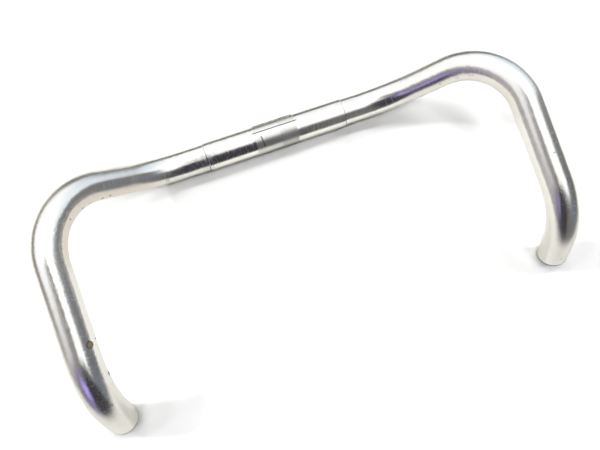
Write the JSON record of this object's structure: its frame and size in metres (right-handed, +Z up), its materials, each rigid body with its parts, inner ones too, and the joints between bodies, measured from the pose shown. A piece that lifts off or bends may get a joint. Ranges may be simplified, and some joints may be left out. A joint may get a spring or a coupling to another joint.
{
  "type": "bullhorn handlebar",
  "caption": "Bent aluminium tube bar with forward horns turned down at the tips and a knurled clamp sleeve pressed over its middle.",
  "frame": {"origin": "centre of the stem clamp band, on the axis of the straight middle of the tube", "axes": "+X along the clamp axis to the right-hand horn, +Z up with the bar lying as it rests on a floor, horns reaching towards -Y"},
  "size_m": [0.4076, 0.2053, 0.0856],
  "materials": {
    "polished_tube": "bright polished aluminium with fine draw lines and small knocks",
    "sleeve_metal": "polished aluminium with a matte knurled band and turned scratches"
  },
  "bodies": {
    "root": {"handlebar_tube": "polished_tube", "clamp_sleeve": "sleeve_metal"}
  },
  "joints": []
}
